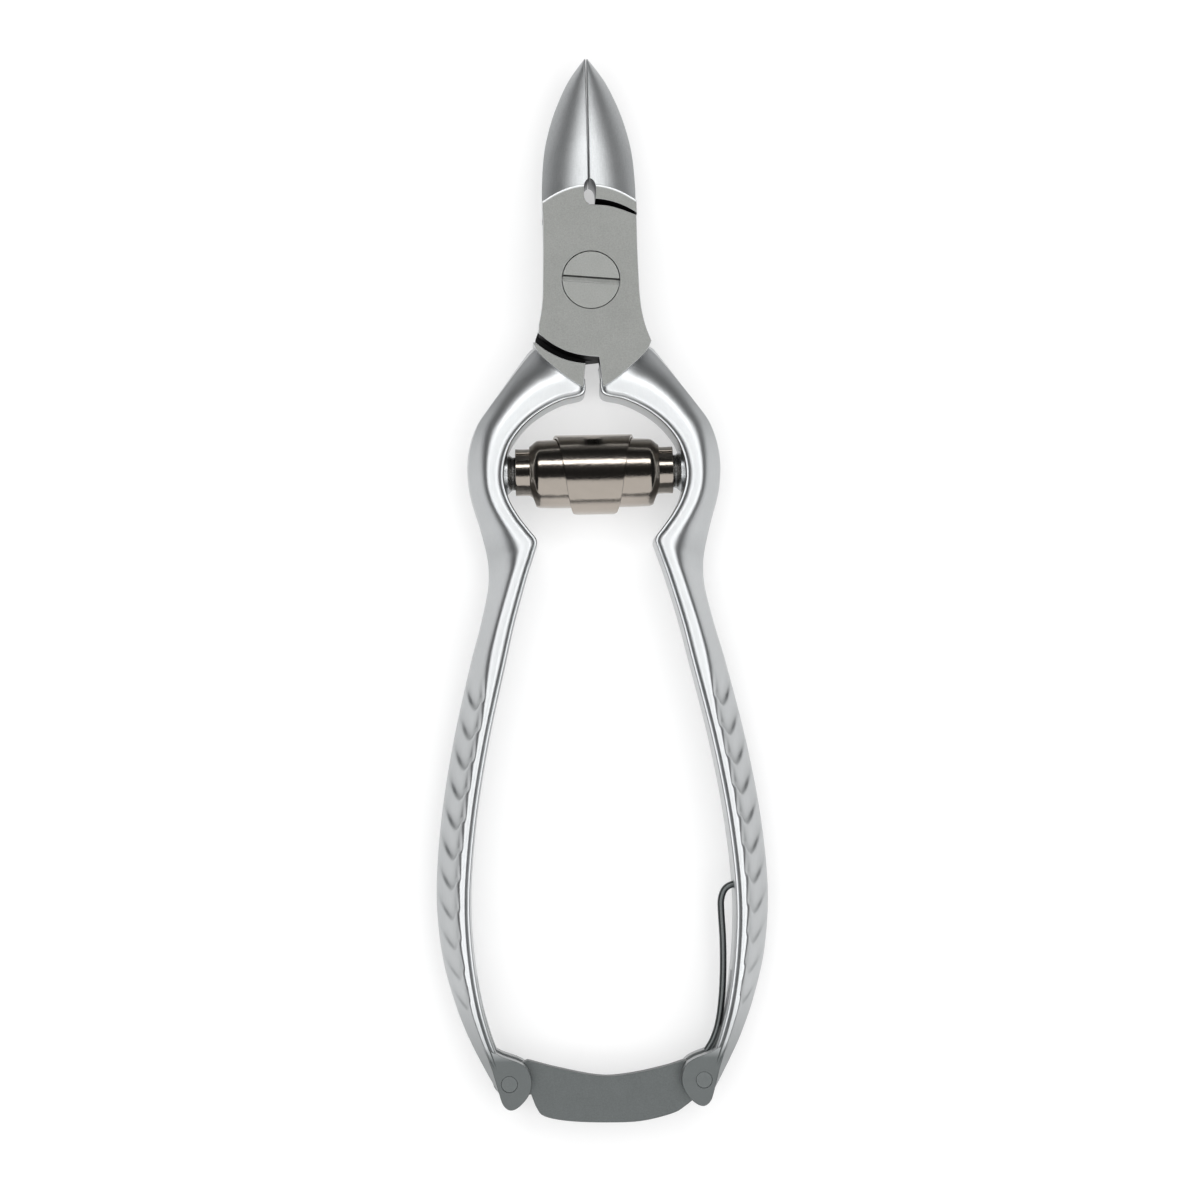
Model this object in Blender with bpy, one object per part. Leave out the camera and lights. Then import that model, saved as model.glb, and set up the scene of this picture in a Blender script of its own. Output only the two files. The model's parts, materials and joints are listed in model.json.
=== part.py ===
"""Lap-joint nail nipper with a barrel spring and a catch bar across the handle ends.

The drawing frame has its origin on the pivot axis, half way through the joint, with X
across the tool, Y towards the jaw tips and Z towards the front face. Drawing sizes are
in millimetres. The part's own frame is in metres, with its origin under the middle of
the box that holds the whole tool, and the tool lies on its back.
"""

import math

import bmesh
import bpy
from mathutils import Matrix, Vector

MM = 0.001
FULL_TURN = 2.0 * math.pi

# Where the pivot axis stands in the part's frame.
PIVOT_Y = 40.25
MID_Z = 5.35
PIVOT = Vector((0.0, PIVOT_Y, MID_Z))

# Lap joint.
JOINT_HALF = 4.5
LAP_GAP = 0.3
JAW_ARC_R = 10.7
ROOT_ARC_R = 11.0
SEAM_HALF_GAP = 0.06
JAW_ARCH_Y = 12.65
JAW_ARCH_BEND = 0.058
JAW_EDGE_X = 6.2

# Pivot screw.
SCREW_HEAD_R = 3.75
SCREW_HEAD_DEPTH = 1.9
SCREW_SHANK_R = 2.5
SCREW_SLOT = (0.86, 0.9)
SCREW_SLOT_TURN = math.radians(-5.0)
SCREW_PLAY = 0.1
ROUND_SIDES = 48

# Relief slot at the foot of the jaw seam.
RELIEF_X = 0.1
RELIEF_HALF = 0.72
RELIEF_Y = (10.75, 12.75)

# Jaws, from the joint to the tip.
TIP_Y = 30.0
JAW_START_Y = 12.2

# Catch at the handle ends.
CATCH_PIVOT = Vector((12.7, -104.9, 0.0))
KEEPER = Vector((-12.7, -104.9, 0.0))
LUG_HALF = 3.4
LUG_SLOT_HALF = 1.25
RIVET_R = 1.05
BAR_HALF = 0.95
HEEL_R = 1.9
NOTCH_R = 1.35
PIN_PLAY = 0.1

# Barrel spring and its seats.
SPRING_Y = -25.0
SPRING_R = 5.35
SPRING_HALF_LENGTH = 10.6
SEAT_FACE_X = 12.1
SEAT_R = 2.75

# Wire that presses on the catch bar.
WIRE_R = 0.45
WIRE_HOLE_R = 0.6


# ---------------------------------------------------------------- drawing helpers

def smooth(points, steps, closed=False):
    """Points on a Catmull-Rom curve through the given points, of any dimension."""
    points = [Vector(p) for p in points]
    count = len(points)
    spans = count if closed else count - 1
    result = []
    for i in range(spans):
        if closed:
            before, start = points[i - 1], points[i]
            end, after = points[(i + 1) % count], points[(i + 2) % count]
        else:
            start, end = points[i], points[i + 1]
            before = points[i - 1] if i else start * 2 - end
            after = points[i + 2] if i + 2 < count else end * 2 - start
        for step in range(steps):
            t = step / steps
            result.append(0.5 * (2 * start + (end - before) * t
                                 + (2 * before - 5 * start + 4 * end - after) * t ** 2
                                 + (3 * start - before - 3 * end + after) * t ** 3))
    if not closed:
        result.append(points[-1])
    return result


def arc(radius, start_deg, end_deg, steps):
    """Points on an arc about the pivot."""
    points = []
    for i in range(steps + 1):
        angle = math.radians(start_deg + (end_deg - start_deg) * i / steps)
        points.append(Vector((radius * math.cos(angle), radius * math.sin(angle))))
    return points


def angle_at(radius, x, y_sign):
    """The angle in degrees at which a circle about the pivot crosses this x."""
    return math.degrees(math.atan2(y_sign * math.sqrt(radius ** 2 - x ** 2), x))


# ------------------------------------------------------------------- mesh helpers

def new_object(name, bm):
    """An object from a bmesh in drawing millimetres, with its faces pointing out."""
    bmesh.ops.recalc_face_normals(bm, faces=bm.faces)
    mesh = bpy.data.meshes.new(name)
    bm.to_mesh(mesh)
    bm.free()
    obj = bpy.data.objects.new(name, mesh)
    bpy.context.scene.collection.objects.link(obj)
    return obj


def slab(name, outline, low, high):
    """A flat outline extruded from one height to another."""
    bm = bmesh.new()
    verts = [bm.verts.new((p[0], p[1], low)) for p in outline]
    face = bm.faces.new(verts)
    grown = bmesh.ops.extrude_face_region(bm, geom=[face])
    moved = [v for v in grown["geom"] if isinstance(v, bmesh.types.BMVert)]
    bmesh.ops.translate(bm, verts=moved, vec=(0.0, 0.0, high - low))
    return new_object(name, bm)


def loft(name, rings):
    """A closed body through rings of points, each ring with the same count."""
    bm = bmesh.new()
    loops = []
    for ring in rings:
        verts = [bm.verts.new(p) for p in ring]
        edges = [bm.edges.new((verts[i - 1], verts[i])) for i in range(len(verts))]
        loops.append((verts, edges))
    for (_, lower), (_, upper) in zip(loops, loops[1:]):
        bmesh.ops.bridge_loops(bm, edges=lower + upper)
    bm.faces.new(loops[0][0])
    bm.faces.new(loops[-1][0])
    return new_object(name, bm)


def rod(name, start, end, radius, sides=ROUND_SIDES):
    """A round rod between two points."""
    start, end = Vector(start), Vector(end)
    turn = (end - start).to_track_quat("Z", "Y").to_matrix().to_4x4()
    place = Matrix.Translation((start + end) / 2) @ turn
    bm = bmesh.new()
    bmesh.ops.create_cone(bm, cap_ends=True, segments=sides, radius1=radius,
                          radius2=radius, depth=(end - start).length, matrix=place)
    return new_object(name, bm)


def box(name, low, high, turn=0.0):
    """A box between two corners, turned about Z through its middle."""
    low, high = Vector(low), Vector(high)
    size = high - low
    place = (Matrix.Translation((low + high) / 2) @ Matrix.Rotation(turn, 4, "Z")
             @ Matrix.Diagonal((size.x, size.y, size.z, 1.0)))
    bm = bmesh.new()
    bmesh.ops.create_cube(bm, size=1.0, matrix=place)
    return new_object(name, bm)


def turned(name, profile, centre, sides=ROUND_SIDES):
    """A closed profile of (x, radius) points turned about the line along X at centre."""
    bm = bmesh.new()
    verts = [bm.verts.new((x, radius, 0.0)) for x, radius in profile]
    edges = [bm.edges.new((verts[i - 1], verts[i])) for i in range(len(verts))]
    bmesh.ops.spin(bm, geom=verts + edges, cent=(0.0, 0.0, 0.0), axis=(1.0, 0.0, 0.0),
                   angle=FULL_TURN, steps=sides, use_merge=True)
    bmesh.ops.remove_doubles(bm, verts=bm.verts, dist=0.0001)
    bmesh.ops.translate(bm, verts=bm.verts, vec=centre)
    return new_object(name, bm)


def combine(target, tool, operation):
    """Joins the tool to the target, or cuts it away, and drops the tool."""
    modifier = target.modifiers.new("combine", "BOOLEAN")
    modifier.operation = operation
    modifier.solver = "EXACT"
    modifier.object = tool
    graph = bpy.context.evaluated_depsgraph_get()
    mesh = bpy.data.meshes.new_from_object(target.evaluated_get(graph))
    target.modifiers.clear()
    target.data = mesh
    bpy.data.objects.remove(tool)


def turn_over(obj):
    """Turns a body over about the tool's length, so that left and right change places."""
    obj.data.transform(Matrix.Rotation(math.pi, 4, "Y"))


# --------------------------------------------------------------- lever outlines

def arch_y(x):
    """Where the flat joint face ends and the domed jaw begins."""
    return JAW_ARCH_Y - JAW_ARCH_BEND * x * x


def arch_points(steps):
    """The arch from the seam to the outer edge of the left jaw."""
    xs = [-SEAM_HALF_GAP - (JAW_EDGE_X - SEAM_HALF_GAP) * i / steps for i in range(steps + 1)]
    return [Vector((x, arch_y(x))) for x in xs]


def side_edge():
    """The plate's right-hand edge, from beside the jaw down to the handle."""
    return smooth([(6.15, 8.45), (6.15, 6.0), (6.2, 3.0), (6.4, -2.5), (6.95, -5.8), (7.78, -8.15)], 2)


def crease():
    """The line where the flat joint face meets the right handle, from the outside in."""
    return smooth([(7.78, -8.15), (7.0, -9.6), (5.05, -11.4), (2.95, -13.1), (1.3, -14.15)], 2)


def plate_outline():
    """The half-thickness plate: left jaw root, pivot plate and right handle root."""
    left_edge = [(-p.x, p.y) for p in side_edge() if p.y > -6.5]
    lower_arc = smooth([(-7.0, -6.95), (-5.5, -8.2), (-3.5, -9.3), (-1.45, -9.9), (0.85, -10.15)], 2)
    upper_arc = smooth([(4.6, 9.1), (2.6, 9.73), (0.4, 9.95)], 2)
    outline = arch_points(8) + left_edge + lower_arc
    outline += list(reversed(crease())) + list(reversed(side_edge()))[1:] + upper_arc
    outline.append((-SEAM_HALF_GAP, 9.97))
    return [Vector((p[0], p[1])) for p in outline]


def jaw_root_outline():
    """The full-thickness root of the left jaw, outside the joint's arc."""
    start = angle_at(JAW_ARC_R, -JAW_EDGE_X, 1)
    end = angle_at(JAW_ARC_R, -SEAM_HALF_GAP, 1)
    return arch_points(8) + arc(JAW_ARC_R, start, end, 8)


def handle_root_outline():
    """The full-thickness root of the right handle, outside the joint's arc."""
    start = angle_at(ROOT_ARC_R, 0.93, -1)
    end = angle_at(ROOT_ARC_R, 7.45, -1)
    return arc(ROOT_ARC_R, start, end, 8) + crease()


def lug_outline():
    """The rounded lug at the end of the right handle."""
    return smooth([(15.7, -100.5), (14.6, -100.8), (13.4, -101.4), (11.4, -102.15), (10.3, -103.0),
                   (9.8, -104.6), (10.15, -106.3), (11.4, -107.8), (12.6, -108.3), (13.55, -107.6),
                   (14.15, -105.8), (14.9, -103.1)], 3, closed=True)


def slot_outline():
    """The slot in a handle's end: a pocket in the inner wall that opens right through the lug."""
    points = [(8.0, -112.0), (20.0, -112.0), (20.0, -99.6), (16.3, -98.7), (17.2, -95.0),
              (17.8, -92.2), (17.3, -91.0), (8.0, -91.0)]
    return [Vector(p) for p in points]


# Right handle, from the joint to the lug: inner point, outer point and half depth.
HANDLE_STATIONS = [
    (1.0, -13.0, 7.35, -8.45, 3.9),
    (1.25, -14.95, 8.15, -8.75, 4.15),
    (3.9, -15.7, 10.0, -11.1, 4.2),
    (6.2, -16.75, 11.9, -13.7, 4.3),
    (8.2, -18.1, 13.9, -16.4, 4.45),
    (9.8, -19.7, 15.4, -18.6, 4.6),
    (11.0, -21.5, 16.35, -21.2, 4.7),
    (11.75, -23.8, 16.75, -24.0, 4.8),
    (11.9, -26.2, 16.6, -26.9, 4.8),
    (11.25, -28.7, 16.1, -29.3, 4.8),
    (10.05, -30.9, 15.4, -31.6, 4.8),
    (8.8, -32.6, 14.85, -33.7, 4.8),
    (7.75, -34.1, 14.4, -35.7, 4.8),
    (8.1, -35.6, 14.2, -37.6, 4.8),
    (9.2, -38.9, 14.35, -40.4, 4.8),
    (10.9, -44.8, 15.5, -45.4, 4.75),
    (12.15, -50.0, 16.9, -50.4, 4.7),
    (14.5, -60.0, 19.25, -60.3, 4.6),
    (16.15, -69.0, 20.85, -69.2, 4.55),
    (17.1, -77.0, 21.7, -77.2, 4.45),
    (17.35, -83.0, 21.75, -83.2, 4.35),
    (17.0, -89.0, 21.0, -89.4, 4.2),
    (16.2, -94.5, 19.5, -95.0, 4.0),
    (15.1, -98.8, 17.9, -99.2, 3.75),
    (14.1, -101.6, 16.55, -102.0, 3.5),
    (13.2, -104.2, 15.2, -104.5, 3.3),
    (12.8, -105.6, 14.35, -106.0, 3.0),
    (12.6, -106.4, 13.7, -106.8, 2.8),
]

# Handle section from the inner wall to the outer nose: share of the width, share of
# the half depth, and a drop in millimetres.
HANDLE_SECTION = [(0.0, 1.0, 0.5), (0.07, 1.0, 0.25), (0.3, 1.0, 0.0), (0.52, 1.0, 0.45),
                  (0.95, 0.28, 0.0), (1.0, 0.1, 0.0)]


def handle_ring(station):
    """One closed section of the handle."""
    inner = Vector((station[0], station[1]))
    outer = Vector((station[2], station[3]))
    half = station[4]
    front = []
    for share, height, drop in HANDLE_SECTION:
        place = inner.lerp(outer, share)
        front.append(Vector((place.x, place.y, half * height - drop)))
    back = [Vector((p.x, p.y, -p.z)) for p in reversed(front)]
    return front + back


# Jaw, from the joint to the tip: y, half width, crest, side, back.
JAW_STATIONS = [
    (12.2, 6.2, 4.1, 1.2, -4.2),
    (15.0, 6.15, 3.95, 0.9, -4.15),
    (18.5, 5.75, 3.6, 0.6, -3.9),
    (22.0, 4.75, 2.95, 0.3, -3.4),
    (25.0, 3.5, 2.2, 0.15, -2.7),
    (27.2, 2.35, 1.55, 0.05, -2.0),
    (29.0, 1.1, 0.95, 0.0, -1.2),
    (TIP_Y, 0.3, 0.6, 0.0, -0.7),
]
JAW_DOME_STEPS = 7


def jaw_ring(station):
    """One closed section of the left jaw, bent with the arch near the joint."""
    y, half_width, crest, side, back = station
    reach = (TIP_Y - y) / (TIP_Y - JAW_START_Y)
    bend = JAW_ARCH_BEND * reach ** 2
    belly_side = -0.25 - side * 0.3
    dome, belly = [], []
    for i in range(JAW_DOME_STEPS + 1):
        share = i / JAW_DOME_STEPS
        x = -SEAM_HALF_GAP - (half_width - SEAM_HALF_GAP) * share
        rise = 1.0 - share ** 2
        dome.append(Vector((x, y - bend * x * x, side + (crest - side) * rise)))
        belly.append(Vector((x, y - bend * x * x, belly_side + (back - belly_side) * rise)))
    return dome + list(reversed(belly))


# ------------------------------------------------------------------------ levers

def lever_blank(name):
    """Plate, roots, right handle and lug: what the two levers share."""
    lever = slab(name, plate_outline(), LAP_GAP / 2, JOINT_HALF)
    combine(lever, slab("jaw_root", jaw_root_outline(), -JOINT_HALF, JOINT_HALF), "UNION")
    combine(lever, slab("handle_root", handle_root_outline(), -JOINT_HALF, JOINT_HALF), "UNION")
    stations = smooth(HANDLE_STATIONS, 2)
    combine(lever, loft("handle", [handle_ring(s) for s in stations]), "UNION")
    combine(lever, slab("lug", lug_outline(), -LUG_HALF, LUG_HALF), "UNION")
    combine(lever, slab("lug_slot", slot_outline(), -LUG_SLOT_HALF, LUG_SLOT_HALF), "DIFFERENCE")
    down, up = CATCH_PIVOT.copy(), CATCH_PIVOT.copy()
    down.z, up.z = -6.0, 6.0
    combine(lever, rod("pin_hole", down, up, RIVET_R + PIN_PLAY, 24), "DIFFERENCE")
    start = (9.0, SPRING_Y, 0.0)
    combine(lever, rod("seat_bore", start, (SEAT_FACE_X, SPRING_Y, 0.0), SEAT_R + 0.15), "DIFFERENCE")
    return lever


def add_jaw(lever, side):
    """Adds a jaw, on the left with side -1 or on the right with side 1, and hollows it."""
    stations = smooth(JAW_STATIONS, 2)
    rings = []
    for station in stations:
        rings.append([Vector((-side * p.x, p.y, p.z)) for p in jaw_ring(station)])
    combine(lever, loft("jaw", rings), "UNION")
    place = Matrix.Translation((0.0, 21.5, -5.0)) @ Matrix.Diagonal((3.7, 8.2, 4.5, 1.0))
    bm = bmesh.new()
    bmesh.ops.create_uvsphere(bm, u_segments=20, v_segments=12, radius=1.0, matrix=place)
    combine(lever, new_object("hollow", bm), "DIFFERENCE")
    outline = smooth([(RELIEF_X - RELIEF_HALF, RELIEF_Y[0]), (RELIEF_X, RELIEF_Y[0] - RELIEF_HALF),
                         (RELIEF_X + RELIEF_HALF, RELIEF_Y[0]), (RELIEF_X + RELIEF_HALF, RELIEF_Y[1]),
                         (RELIEF_X, RELIEF_Y[1] + RELIEF_HALF), (RELIEF_X - RELIEF_HALF, RELIEF_Y[1])],
                        3, closed=True)
    combine(lever, slab("relief", outline, -6.0, 6.0), "DIFFERENCE")


def front_lever():
    """Left jaw, front plate with the screw's counterbore, right handle and wire hole."""
    lever = lever_blank("front_lever")
    add_jaw(lever, -1)
    head_seat = JOINT_HALF - SCREW_HEAD_DEPTH - SCREW_PLAY
    combine(lever, rod("screw_bore", (0, 0, -1.0), (0, 0, 6.0), SCREW_SHANK_R + SCREW_PLAY), "DIFFERENCE")
    combine(lever, rod("head_bore", (0, 0, head_seat), (0, 0, 6.0), SCREW_HEAD_R + SCREW_PLAY), "DIFFERENCE")
    combine(lever, rod("wire_hole", (15.5, -79.7, 0.0), (19.6, -79.7, 0.0), WIRE_HOLE_R, 16), "DIFFERENCE")
    return lever


def rear_lever():
    """Right jaw, rear plate, left handle and its lug."""
    lever = lever_blank("rear_lever")
    turn_over(lever)
    add_jaw(lever, 1)
    combine(lever, rod("screw_bore", (0, 0, -6.0), (0, 0, 1.0), SCREW_SHANK_R + SCREW_PLAY), "DIFFERENCE")
    return lever


# ------------------------------------------------------------------ small pieces

def pivot_screw():
    """Slotted screw, with its head flush in the front plate and its end in the rear one."""
    top = JOINT_HALF - 0.05
    screw = rod("pivot_screw", (0, 0, top - SCREW_HEAD_DEPTH), (0, 0, top), SCREW_HEAD_R)
    combine(screw, rod("shank", (0, 0, -top), (0, 0, top - 0.5), SCREW_SHANK_R), "UNION")
    width, depth = SCREW_SLOT
    low, high = (-6.0, -width / 2, top - depth), (6.0, width / 2, top + 1.0)
    combine(screw, box("driver_slot", low, high, SCREW_SLOT_TURN), "DIFFERENCE")
    return screw


def barrel_spring():
    """The wound strip as one stepped barrel, open along its axis."""
    half = SPRING_HALF_LENGTH
    outer = [(-half, 3.05), (-8.5, 3.05), (-8.4, 4.5), (-5.0, 4.6), (-4.9, SPRING_R)]
    right = [(-x, radius) for x, radius in reversed(outer)]
    bore = [(half, 2.5), (-half, 2.5)]
    return turned("barrel_spring", outer + right + bore, (0.0, SPRING_Y, 0.0), 40)


def spring_seat(name, side):
    """Stepped stud on a handle that holds one end of the barrel spring."""
    face = SEAT_FACE_X - 0.1
    profile = [(face, SEAT_R), (11.3, SEAT_R), (10.9, 2.2), (8.9, 1.95), (8.4, 1.5), (8.4, 0.0), (face, 0.0)]
    profile = [(side * x, radius) for x, radius in profile]
    return turned(name, profile, (0.0, SPRING_Y, 0.0), 32)


def bar_outline():
    """The catch bar: rounded heel, arched bar and a hook open towards the jaws."""
    heel = []
    for i in range(9):
        angle = math.radians(110.0 - 205.0 * i / 8)
        heel.append(CATCH_PIVOT.xy + HEEL_R * Vector((math.cos(angle), math.sin(angle))))
    lower = smooth([heel[-1], (10.4, -108.5), (8.6, -109.5), (4.5, -110.4), (0.0, -110.5), (-5.0, -110.2),
                    (-8.2, -109.5), (-9.2, -108.4), (-9.9, -106.6)], 2)
    hook = smooth([(-9.9, -106.6), (-12.7, -107.0), (-14.5, -105.9), (-15.0, -104.2), (-14.7, -102.7)], 2)
    notch = [(KEEPER.x - 1.3, KEEPER.y + 1.6)]
    for i in range(7):
        angle = math.pi + math.pi * i / 6
        notch.append(KEEPER.xy + NOTCH_R * Vector((math.cos(angle), math.sin(angle))))
    notch.append((KEEPER.x + NOTCH_R, -102.6))
    upper = smooth([(-10.3, -102.15), (-6.2, -103.3), (-0.9, -104.4), (3.0, -104.25), (7.5, -103.4),
                    (10.3, -102.6)], 2)
    return heel + lower[1:-1] + hook + notch + upper


def catch_bar():
    """Flat bar that hooks the two handles together."""
    bar = slab("catch_bar", bar_outline(), -BAR_HALF, BAR_HALF)
    down, up = CATCH_PIVOT.copy(), CATCH_PIVOT.copy()
    down.z, up.z = -3.0, 3.0
    combine(bar, rod("rivet_hole", down, up, RIVET_R + 0.15, 24), "DIFFERENCE")
    return bar


def cross_pin(name, centre):
    """Pin through both cheeks of a lug, flush with them."""
    down, up = centre.copy(), centre.copy()
    down.z, up.z = 0.05 - LUG_HALF, LUG_HALF - 0.05
    return rod(name, down, up, RIVET_R, 24)


def catch_spring():
    """Bent wire from a hole in the right handle down to the heel of the catch bar."""
    route = smooth([(19.3, -79.7), (17.4, -79.7), (16.2, -80.3), (15.65, -81.6), (15.6, -83.2),
                    (15.75, -87.0), (15.7, -91.0), (15.45, -94.6), (14.95, -97.8), (14.2, -100.0),
                    (13.3, -101.5)], 3)
    curve = bpy.data.curves.new("catch_spring", "CURVE")
    curve.dimensions = "3D"
    curve.bevel_depth = WIRE_R
    curve.bevel_resolution = 2
    curve.use_fill_caps = True
    curve.render_resolution_u = 0
    spline = curve.splines.new("POLY")
    spline.points.add(len(route) - 1)
    for point, place in zip(spline.points, route):
        point.co = (place.x, place.y, 0.0, 1.0)
    guide = bpy.data.objects.new("catch_spring_route", curve)
    bpy.context.scene.collection.objects.link(guide)
    graph = bpy.context.evaluated_depsgraph_get()
    mesh = bpy.data.meshes.new_from_object(guide.evaluated_get(graph))
    bpy.data.objects.remove(guide)
    obj = bpy.data.objects.new("catch_spring", mesh)
    bpy.context.scene.collection.objects.link(obj)
    return obj


# --------------------------------------------------------------------- materials

FINISHES = {
    "satin_chrome": ((0.66, 0.68, 0.70), 0.28),
    "ground_steel": ((0.50, 0.51, 0.49), 0.42),
    "dark_steel": ((0.30, 0.32, 0.32), 0.40),
    "bright_nickel": ((0.58, 0.54, 0.50), 0.12),
}


def finish(name):
    """A metal with this finish's colour and roughness."""
    colour, roughness = FINISHES[name]
    material = bpy.data.materials.new(name)
    material.use_nodes = True
    shader = material.node_tree.nodes["Principled BSDF"]
    shader.inputs["Base Color"].default_value = (*colour, 1.0)
    shader.inputs["Metallic"].default_value = 1.0
    shader.inputs["Roughness"].default_value = roughness
    return material


def place(obj, origin, material):
    """Brings a body from drawing millimetres to its origin in the part's frame."""
    obj.data.transform(Matrix.Scale(MM, 4) @ Matrix.Translation(-origin))
    obj.data.shade_smooth()
    obj.data.set_sharp_from_angle(angle=math.radians(30.0))
    obj.location = (PIVOT + origin) * MM
    obj.data.materials.clear()
    obj.data.materials.append(material)


def main():
    for obj in list(bpy.data.objects):
        bpy.data.objects.remove(obj)
    centre = Vector((0.0, 0.0, 0.0))
    satin, ground = finish("satin_chrome"), finish("ground_steel")
    dark, nickel = finish("dark_steel"), finish("bright_nickel")
    place(front_lever(), centre, satin)
    place(rear_lever(), centre, satin)
    place(pivot_screw(), centre, ground)
    place(barrel_spring(), centre, nickel)
    place(spring_seat("spring_seat_right", 1), centre, satin)
    place(spring_seat("spring_seat_left", -1), centre, satin)
    place(catch_bar(), CATCH_PIVOT, dark)
    place(cross_pin("catch_rivet", CATCH_PIVOT), CATCH_PIVOT, dark)
    place(cross_pin("keeper_pin", KEEPER), KEEPER, dark)
    place(catch_spring(), centre, dark)


main()
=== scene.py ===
import json
import math

import bmesh
import bpy
from mathutils import Matrix, Vector
from mathutils.kdtree import KDTree

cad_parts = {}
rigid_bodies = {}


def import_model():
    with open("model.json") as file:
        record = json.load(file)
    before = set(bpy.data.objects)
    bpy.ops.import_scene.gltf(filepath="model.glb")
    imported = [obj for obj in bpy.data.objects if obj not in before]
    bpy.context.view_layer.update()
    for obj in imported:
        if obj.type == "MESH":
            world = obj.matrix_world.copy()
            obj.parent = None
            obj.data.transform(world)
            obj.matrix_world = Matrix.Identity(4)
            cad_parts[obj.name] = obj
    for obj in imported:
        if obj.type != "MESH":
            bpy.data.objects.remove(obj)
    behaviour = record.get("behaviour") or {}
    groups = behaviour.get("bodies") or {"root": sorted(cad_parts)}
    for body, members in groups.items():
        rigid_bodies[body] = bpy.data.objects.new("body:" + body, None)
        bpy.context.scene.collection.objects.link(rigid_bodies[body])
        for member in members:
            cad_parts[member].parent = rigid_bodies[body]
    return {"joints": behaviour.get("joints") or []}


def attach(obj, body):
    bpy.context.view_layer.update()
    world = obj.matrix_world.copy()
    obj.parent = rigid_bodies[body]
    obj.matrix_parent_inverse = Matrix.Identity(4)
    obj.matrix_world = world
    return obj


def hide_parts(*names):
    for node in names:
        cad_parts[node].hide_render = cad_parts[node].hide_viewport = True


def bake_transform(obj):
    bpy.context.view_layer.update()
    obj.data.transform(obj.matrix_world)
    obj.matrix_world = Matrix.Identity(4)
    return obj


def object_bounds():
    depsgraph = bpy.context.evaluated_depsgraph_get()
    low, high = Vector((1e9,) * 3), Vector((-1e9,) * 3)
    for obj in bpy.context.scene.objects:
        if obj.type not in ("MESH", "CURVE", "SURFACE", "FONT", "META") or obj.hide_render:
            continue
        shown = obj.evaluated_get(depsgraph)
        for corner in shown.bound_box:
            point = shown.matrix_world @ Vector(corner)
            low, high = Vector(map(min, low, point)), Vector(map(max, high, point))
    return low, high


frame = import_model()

# Looks of a lap-joint nail nipper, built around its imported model.
#
# The drawing frame has its origin on the pivot axis, half way through the joint, with X
# across the tool, Y towards the jaw tips and Z towards the front face. Shapes are drawn
# in millimetres there and brought to metres around the pivot that the frame gives.

CAD_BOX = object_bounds()

bl_info = {
    "name": "Nail Nipper Looks",
    "version": (1, 0, 0),
    "blender": (4, 5, 0),
    "location": "View3D > Sidebar > Nipper",
    "description": "Builds the forged levers, wound spring, catch and finishes of a nail nipper",
    "category": "Object",
}

MM = 0.001
FULL_TURN = 2.0 * math.pi
JOINTS = {joint["name"]: joint for joint in frame["joints"]}
PIVOT = Vector(JOINTS["lever_pivot"]["pos_m"])

# Lap joint, in drawing millimetres.
JOINT_HALF = 4.5
LAP_GAP = 0.3
JAW_ARC_R = 10.7
ROOT_ARC_R = 11.0
SEAM_HALF_GAP = 0.06
JAW_ARCH_Y = 12.65
JAW_ARCH_BEND = 0.058
JAW_EDGE_X = 6.2
EDGE_BREAK = 0.13
ROOT_OVERLAP = 0.6

# Pivot screw.
SCREW_HEAD_R = 3.75
SCREW_HEAD_DEPTH = 1.9
SCREW_SHANK_R = 2.5
SCREW_SLOT = (0.86, 0.9)
SCREW_SLOT_TURN = math.radians(-5.0)
SCREW_SLOT_SOFTENING = 0.24
SCREW_PLAY = 0.1
SCREW_SUNK = 0.05
ROUND_SIDES = 96
PIN_SIDES = 48

# Relief slot at the foot of the jaw seam.
RELIEF_X = 0.1
RELIEF_HALF = 0.72
RELIEF_Y = (10.75, 12.75)

# Jaws, from the joint to the tip.
TIP_Y = 30.0
JAW_START_Y = 12.2
JAW_DOME_STEPS = 22
JAW_SEAM_BREAK = 0.13
JAW_HOLLOW_CENTRE = (0.0, 21.5, -5.0)
JAW_HOLLOW_RADII = (3.7, 8.2, 4.5)

# Catch at the handle ends.
CATCH_PIVOT = Vector((12.7, -104.9, 0.0))
KEEPER = Vector((-12.7, -104.9, 0.0))
LUG_HALF = 3.4
LUG_SLOT_HALF = 1.25
RIVET_R = 1.05
BAR_HALF = 0.95
BAR_PLAY = 0.15
HEEL_R = 1.9
NOTCH_R = 1.35
PIN_PLAY = 0.03
PIN_SUNK = 0.05

# Barrel spring and its seats. Turns are counted from the strip's free end.
SPRING_Y = -25.0
SEAT_FACE_X = 12.1
SEAT_R = 2.75
SEAT_PLAY = 0.15
SEAT_BEHIND = 0.1
STRIP_THICKNESS = 0.42
STRIP_EDGE = 0.07
BAND_SAG = 0.32
WINDING_LIFT = 0.1
BARREL_R = 5.14
BARREL_R_LOST_PER_TURN = 0.62
LEG_R_LOST_PER_TURN = 0.2
RING_R = 2.95
RING_R_LOST_PER_TURN = 0.24
RING_MIDDLE_X = 9.4
BAND_END_TURN = 1.04
LEG_START_TURN = 1.0
RING_START_TURN = 2.4
RING_END_TURN = 4.4

# Wire that presses on the catch bar.
WIRE_R = 0.45
WIRE_HOLE_R = 0.6
WIRE_HOLE_Y = -79.7

# Finger flutes on the outer side of the handles.
FLUTE_PITCH = 3.9
FLUTE_FROM = 52.4
FLUTE_TO = 95.3
FLUTE_LEAN = 4.2
FLUTE_LEAN_POWER = 1.45
FLUTE_HEEL = 0.2
FLUTE_HOOK = 17.0
FLUTE_HOOK_REACH = 0.25
FLUTE_WALL_FROM = 0.78
FLUTE_FADE = 0.6
FLUTE_FADE_FROM = 0.35
# Painted shade in the flutes' heels: where it fades out near a flute's wall, and how near a lever
# point must lie to a section point to take it.
FLUTE_SHADE_FROM = 0.9
FLUTE_SHADE_REACH = 0.02
SUNK_OUT, SUNK_DOWN = 0.5, 0.86


# ------------------------------------------------------------------------ settings

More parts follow.
